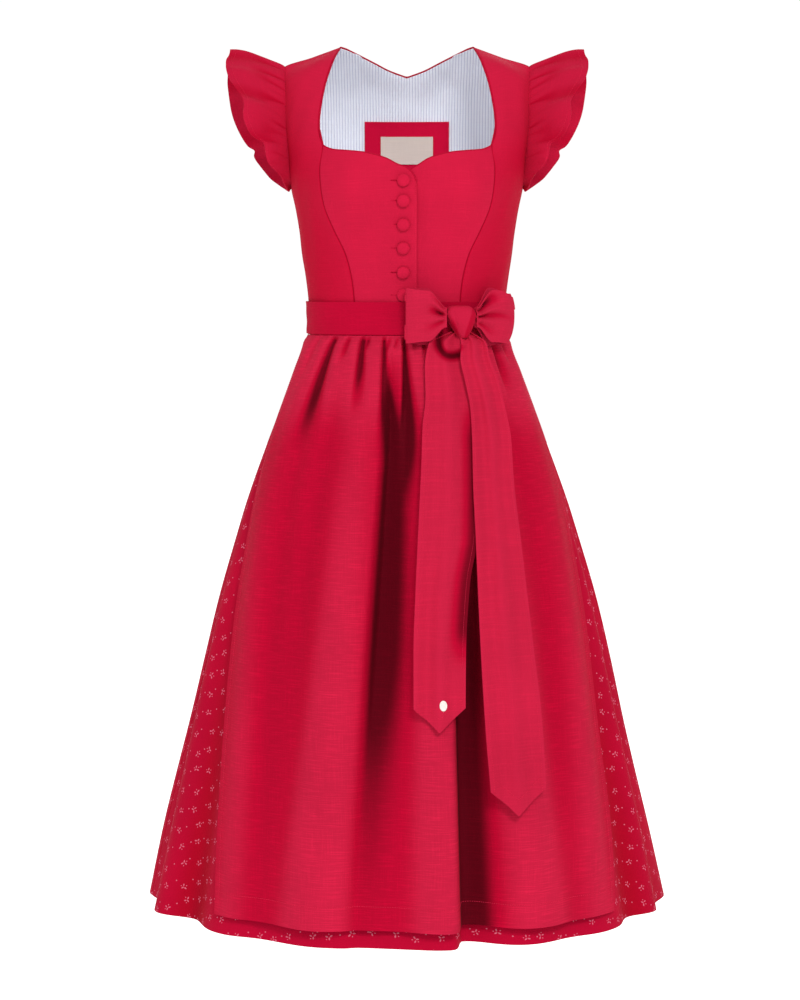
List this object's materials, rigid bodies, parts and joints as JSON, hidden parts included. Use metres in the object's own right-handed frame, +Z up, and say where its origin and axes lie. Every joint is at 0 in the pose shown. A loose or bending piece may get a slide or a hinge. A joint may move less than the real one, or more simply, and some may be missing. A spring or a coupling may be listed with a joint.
{
  "type": "dirndl",
  "caption": "Hollow midi dirndl: fitted buttoned bodice with flutter sleeves, gathered print skirt, plain apron and a sash tied in a bow.",
  "frame": {"origin": "midway between the two shoulder straps, at the level of the shoulder seams, where the wearer holds the dress up", "axes": "+Z up, +X to the wearer's left, -Y out of the front"},
  "size_m": [0.6353, 0.5337, 1.036],
  "materials": {
    "bodice_cloth": "plain woven linen, satin sheen",
    "piping_cloth": "folded linen piping",
    "lining_cloth": "white cotton with a fine blue-grey pinstripe",
    "patch_cloth": "plain cotton",
    "label_cloth": "bare woven label",
    "button_cloth": "domed, covered with the bodice cloth",
    "sleeve_cloth": "gathered linen",
    "skirt_print": "cotton with a scattered sprig print",
    "apron_cloth": "slubbed linen and silk, soft sheen",
    "sash_cloth": "slubbed linen and silk, soft sheen",
    "charm": "small bare oval stud, polished"
  },
  "bodies": {
    "root": {"bodice_front_right": "bodice_cloth", "bodice_front_left": "bodice_cloth", "bodice_back": "bodice_cloth", "bodice_side_front_right": "bodice_cloth", "bodice_side_front_left": "bodice_cloth", "bodice_side_back_right": "bodice_cloth", "bodice_side_back_left": "bodice_cloth", "lining_back": "lining_cloth", "lining_side_back_right": "lining_cloth", "lining_side_back_left": "lining_cloth", "neck_piping": "piping_cloth", "label_patch": "patch_cloth", "label": "label_cloth", "button_1": "button_cloth", "button_2": "button_cloth", "button_3": "button_cloth", "button_4": "button_cloth", "button_5": "button_cloth", "button_6": "button_cloth", "sleeve_right": "sleeve_cloth", "sleeve_left": "sleeve_cloth", "skirt_front": "skirt_print", "skirt_back_left": "skirt_print", "skirt_back_right": "skirt_print", "apron": "apron_cloth", "apron_waistband": "sash_cloth", "sash_wrap": "sash_cloth", "sash_knot": "sash_cloth", "bow_loop_right": "sash_cloth", "bow_loop_left": "sash_cloth", "sash_tail_right": "sash_cloth", "sash_tail_left": "sash_cloth", "sash_charm": "charm"}
  },
  "joints": []
}
